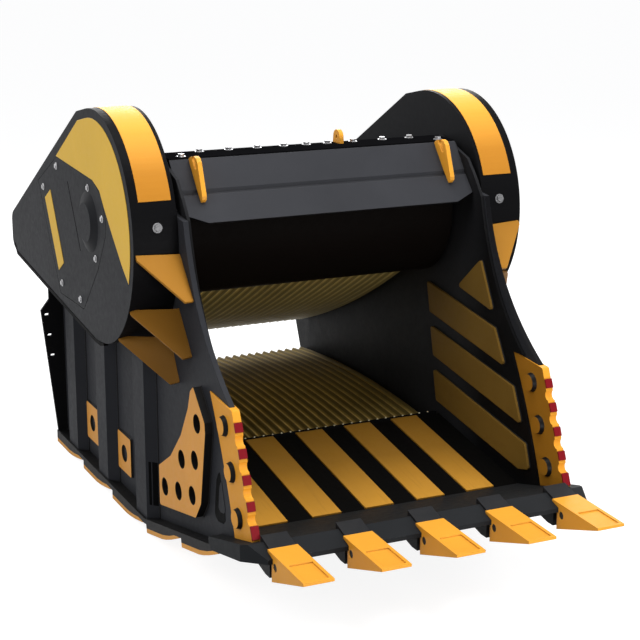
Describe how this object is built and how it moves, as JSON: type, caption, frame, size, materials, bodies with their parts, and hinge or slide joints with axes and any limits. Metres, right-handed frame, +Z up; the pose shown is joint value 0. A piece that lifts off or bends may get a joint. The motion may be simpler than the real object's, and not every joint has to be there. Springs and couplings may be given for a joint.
{
  "type": "jaw crusher bucket",
  "caption": "Excavator bucket with a built-in jaw crusher: toothed scoop, ribbed fixed and moving jaws, side casings with flywheels and an eccentric drive.",
  "frame": {"origin": "middle of the bounding box at the underside of the wear skids, on the machine's plane of symmetry", "axes": "+Z up, +Y from the teeth towards the discharge at the rear, X along the eccentric shaft with the drive belts on the -X side"},
  "size_m": [2.0534, 3.469, 2.0869],
  "materials": {
    "body_dark": "satin",
    "body_black": "satin",
    "hood_grey": "satin",
    "yellow": "satin",
    "mustard": "satin",
    "red": "satin",
    "jaw": "rough",
    "black_steel": "rough",
    "machined": "satin",
    "bolt": "satin",
    "wheel": "rough",
    "motor": "gloss",
    "belt": "matte",
    "spring": "satin"
  },
  "bodies": {
    "frame": {"left_side_wall": "body_dark", "right_side_wall": "body_dark", "left_wall_liner": "body_black", "right_wall_liner": "body_black", "wall_ribs": "body_dark", "bottom_shell": "body_black", "bucket_floor": "body_black", "cutting_lip": "body_black", "floor_wear_bars": "yellow", "wall_wear_plates": "yellow", "tooth_adapters": "black_steel", "bucket_teeth": "yellow", "tooth_pins": "black_steel", "left_side_cutter": "yellow", "right_side_cutter": "yellow", "cutter_edge_pads": "red", "side_wear_plates": "yellow", "anchor_plates": "yellow", "wear_skids": "yellow", "casing_guards": "yellow", "left_casing": "body_dark", "right_casing": "body_dark", "rim_stripes": "yellow", "casing_side_panels": "mustard", "left_inspection_cover": "body_dark", "right_inspection_cover": "body_dark", "cover_bolts": "bolt", "hood_upper_panel": "hood_grey", "hood_lower_panel": "hood_grey", "lifting_lugs": "mustard", "top_plate": "body_black", "top_bolts": "bolt", "hood_bolts": "body_black", "rear_shroud": "body_black", "coupler_plate": "body_black", "toggle_beam": "body_black", "rear_flanges": "body_black", "discharge_cheeks": "body_black", "fixed_jaw_bed": "body_black", "fixed_jaw_plate": "jaw", "fixed_jaw_clamps": "black_steel", "bearing_housings": "black_steel", "frame_bearings": "machined", "toggle_seats": "wheel", "adjusting_shims": "machined", "tension_springs": "spring", "hydraulic_motor": "motor", "drive_belts": "belt", "hydraulic_ports": "machined"},
    "crank": {"eccentric_shaft": "machined", "left_flywheel": "wheel", "right_flywheel": "wheel"},
    "jaw": {"pitman": "body_black", "moving_jaw_plate": "jaw", "moving_jaw_clamps": "black_steel", "pitman_bearings": "machined", "tension_rods": "machined"},
    "pulley": {"motor_pulley": "wheel"},
    "toggle": {"toggle_plate": "black_steel"}
  },
  "joints": [
    {"name": "crank_spin", "type": "hinge", "parent": "frame", "child": "crank", "pos_m": [0, 0.1295, 1.525], "axis": [1, 0, 0], "continuous": true, "deforming": ["tension_springs"]},
    {"name": "jaw_orbit", "type": "hinge", "parent": "crank", "child": "jaw", "pos_m": [0, 0.1295, 1.537], "axis": [1, 0, 0], "continuous": true},
    {"name": "motor_spin", "type": "hinge", "parent": "frame", "child": "pulley", "pos_m": [-0.892, 1.4195, 1.29], "axis": [1, 0, 0], "continuous": true},
    {"name": "toggle_rock", "type": "hinge", "parent": "frame", "child": "toggle", "pos_m": [0, 1.4605, 0.943], "axis": [1, 0, 0], "range_deg": [-1.5, 1.5]}
  ],
  "couplings": [
    {"joint": "jaw_orbit", "follows": "crank_spin", "ratio": -1},
    {"joint": "motor_spin", "follows": "crank_spin", "ratio": 4.5191}
  ]
}
